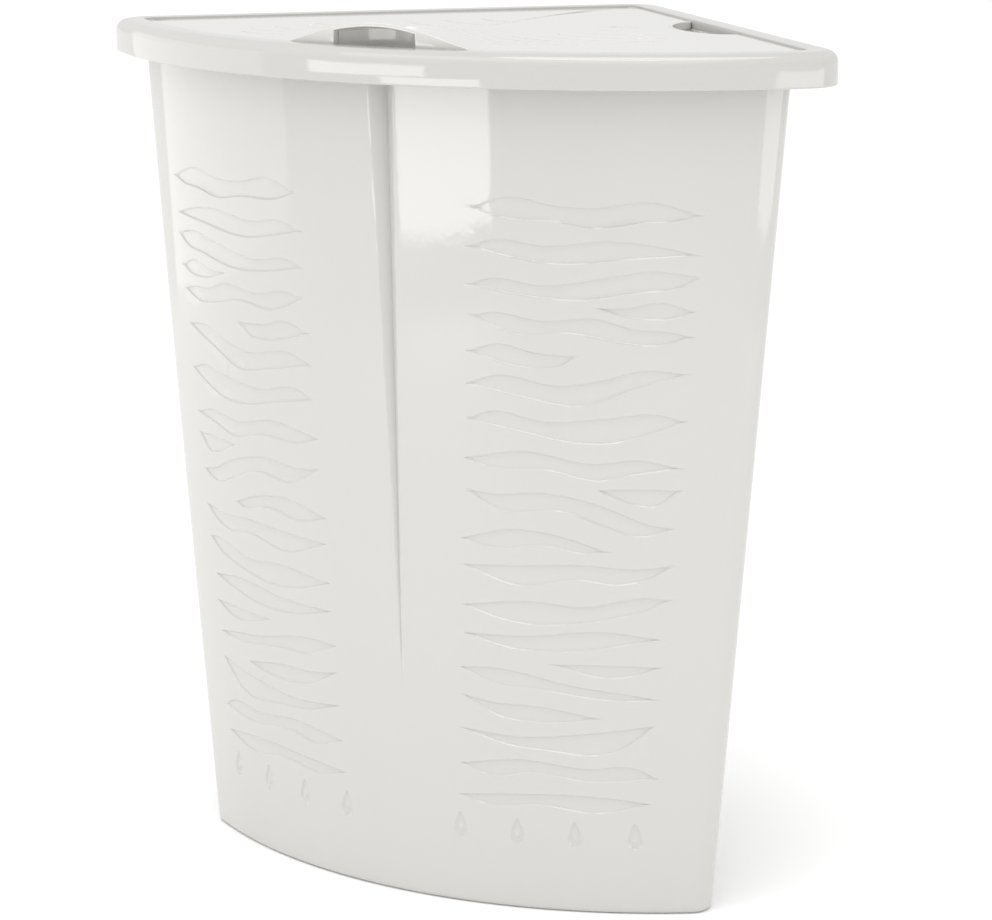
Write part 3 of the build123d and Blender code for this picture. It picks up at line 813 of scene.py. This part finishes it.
class OBJECT_OT_hamper_tub(bpy.types.Operator):
    """Build the tapered tub with its waves, drops and crease"""

    bl_idname = "object.hamper_tub"
    bl_label = "Tub"

    def execute(self, context):
        finish = context.scene.hamper_finish
        dress(make_tub(context.scene.hamper_sizes),
              gloss_plastic("tub gloss plastic", finish.tub_colour, finish.roughness, 1400.0),
              "frame", "tub_plastic", "tub")
        return {"FINISHED"}


class OBJECT_OT_hamper_collar(bpy.types.Operator):
    """Build the rim collar with its recess, ledge and skirt"""

    bl_idname = "object.hamper_collar"
    bl_label = "Rim Collar"

    def execute(self, context):
        finish = context.scene.hamper_finish
        # The collar's colour is the tub's plastic darkened as painted shade.
        dress(make_collar(),
              gloss_plastic("collar gloss plastic", finish.rim_colour_painted_shade, finish.roughness, 1500.0),
              "frame", "collar_plastic", "rim_collar")
        return {"FINISHED"}


class OBJECT_OT_hamper_lid(bpy.types.Operator):
    """Build the lid with its hood, hand opening, finger bite and leaves"""

    bl_idname = "object.hamper_lid"
    bl_label = "Lid"

    def execute(self, context):
        finish = context.scene.hamper_finish
        # The lid's colour is the tub's plastic lightened as painted light.
        dress(make_lid(context.scene.hamper_sizes),
              gloss_plastic("lid gloss plastic", finish.lid_colour_painted_light, finish.roughness * 1.1, 1500.0),
              "lid", "lid_plastic", "lid")
        return {"FINISHED"}


class OBJECT_OT_hamper_pins(bpy.types.Operator):
    """Finish the two hinge pins"""

    bl_idname = "object.hamper_pins"
    bl_label = "Hinge Pins"

    def execute(self, context):
        finish = context.scene.hamper_finish
        material = gloss_plastic("pin gloss plastic", finish.pin_colour, finish.roughness * 1.6, 2200.0)
        for name in ("hinge_pin_back", "hinge_pin_front"):
            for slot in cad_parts[name].material_slots:
                slot.material = material
        return {"FINISHED"}


class SCENE_OT_hamper_studio(bpy.types.Operator):
    """Set up the floor, the soft light and the camera"""

    bl_idname = "scene.hamper_studio"
    bl_label = "Studio"

    def execute(self, context):
        finish = context.scene.hamper_finish
        half = FLOOR_HALF
        floor_mesh = bpy.data.meshes.new("studio_floor")
        floor_mesh.from_pydata([(-half, -half, 0), (half, -half, 0), (half, half, 0), (-half, half, 0)], [],
                               [(0, 1, 2, 3)])
        floor = bpy.data.objects.new("studio_floor", floor_mesh)
        context.scene.collection.objects.link(floor)
        pale = bpy.data.materials.new("pale floor")
        pale.use_nodes = True
        shader = pale.node_tree.nodes["Principled BSDF"]
        shader.inputs["Base Color"].default_value = (*finish.floor_colour, 1.0)
        shader.inputs["Roughness"].default_value = FLOOR_ROUGHNESS
        floor_mesh.materials.append(pale)

        world = bpy.data.worlds.new("pale studio")
        context.scene.world = world
        world.use_nodes = True
        background = world.node_tree.nodes["Background"]
        background.inputs["Color"].default_value = (1.0, 1.0, 1.0, 1.0)
        background.inputs["Strength"].default_value = finish.soft_light
        context.scene.view_settings.view_transform = "Standard"

        for box in SOFT_BOXES:
            soft_box(*box)
        sun = bpy.data.objects.new("overhead_sun", bpy.data.lights.new("overhead_sun", "SUN"))
        sun.data.energy, sun.data.angle = SUN_POWER, math.radians(SUN_WIDE)
        sun.rotation_euler = [math.radians(turn) for turn in SUN_TILT]
        context.scene.collection.objects.link(sun)
        make_camera(context.scene)
        return {"FINISHED"}


def make_camera(scene):
    """A long lens, low above the rim, to the right of the front."""
    data = bpy.data.cameras.new("camera")
    data.lens, data.sensor_width = CAMERA_LENS, CAMERA_SENSOR
    data.shift_x, data.shift_y = CAMERA_SHIFT
    data.clip_start, data.clip_end = 0.05, FLOOR_HALF
    camera = bpy.data.objects.new("camera", data)
    turn = Matrix.Rotation(CAMERA_TURN, 4, "Z") @ Matrix.Rotation(math.pi / 2 - CAMERA_DOWN, 4, "X")
    camera.matrix_world = Matrix.Translation(CAMERA_PLACE) @ turn @ Matrix.Rotation(CAMERA_ROLL, 4, "Z")
    scene.collection.objects.link(camera)
    scene.camera = camera


class VIEW3D_PT_hamper(bpy.types.Panel):
    """Lists the hamper's pieces and their sizes"""

    bl_idname = "VIEW3D_PT_hamper"
    bl_label = "Corner Hamper"
    bl_space_type = "VIEW_3D"
    bl_region_type = "UI"
    bl_category = "Hamper"

    def draw(self, context):
        layout = self.layout
        for name in HamperSizes.__annotations__:
            layout.prop(context.scene.hamper_sizes, name)
        for name in HamperFinish.__annotations__:
            layout.prop(context.scene.hamper_finish, name)
        for operator in OPERATORS:
            layout.operator(operator.bl_idname)


OPERATORS = (OBJECT_OT_hamper_tub, OBJECT_OT_hamper_collar, OBJECT_OT_hamper_lid, OBJECT_OT_hamper_pins,
             SCENE_OT_hamper_studio)
CLASSES = (HamperSizes, HamperFinish, *OPERATORS, VIEW3D_PT_hamper)


def register():
    for cls in CLASSES:
        bpy.utils.register_class(cls)
    bpy.types.Scene.hamper_sizes = bpy.props.PointerProperty(type=HamperSizes)
    bpy.types.Scene.hamper_finish = bpy.props.PointerProperty(type=HamperFinish)


def unregister():
    del bpy.types.Scene.hamper_finish
    del bpy.types.Scene.hamper_sizes
    for cls in reversed(CLASSES):
        bpy.utils.unregister_class(cls)


def main():
    """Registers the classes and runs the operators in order."""
    register()
    bpy.ops.object.hamper_tub()
    bpy.ops.object.hamper_collar()
    bpy.ops.object.hamper_lid()
    bpy.ops.object.hamper_pins()
    bpy.ops.scene.hamper_studio()


if __name__ == "__main__":
    main()
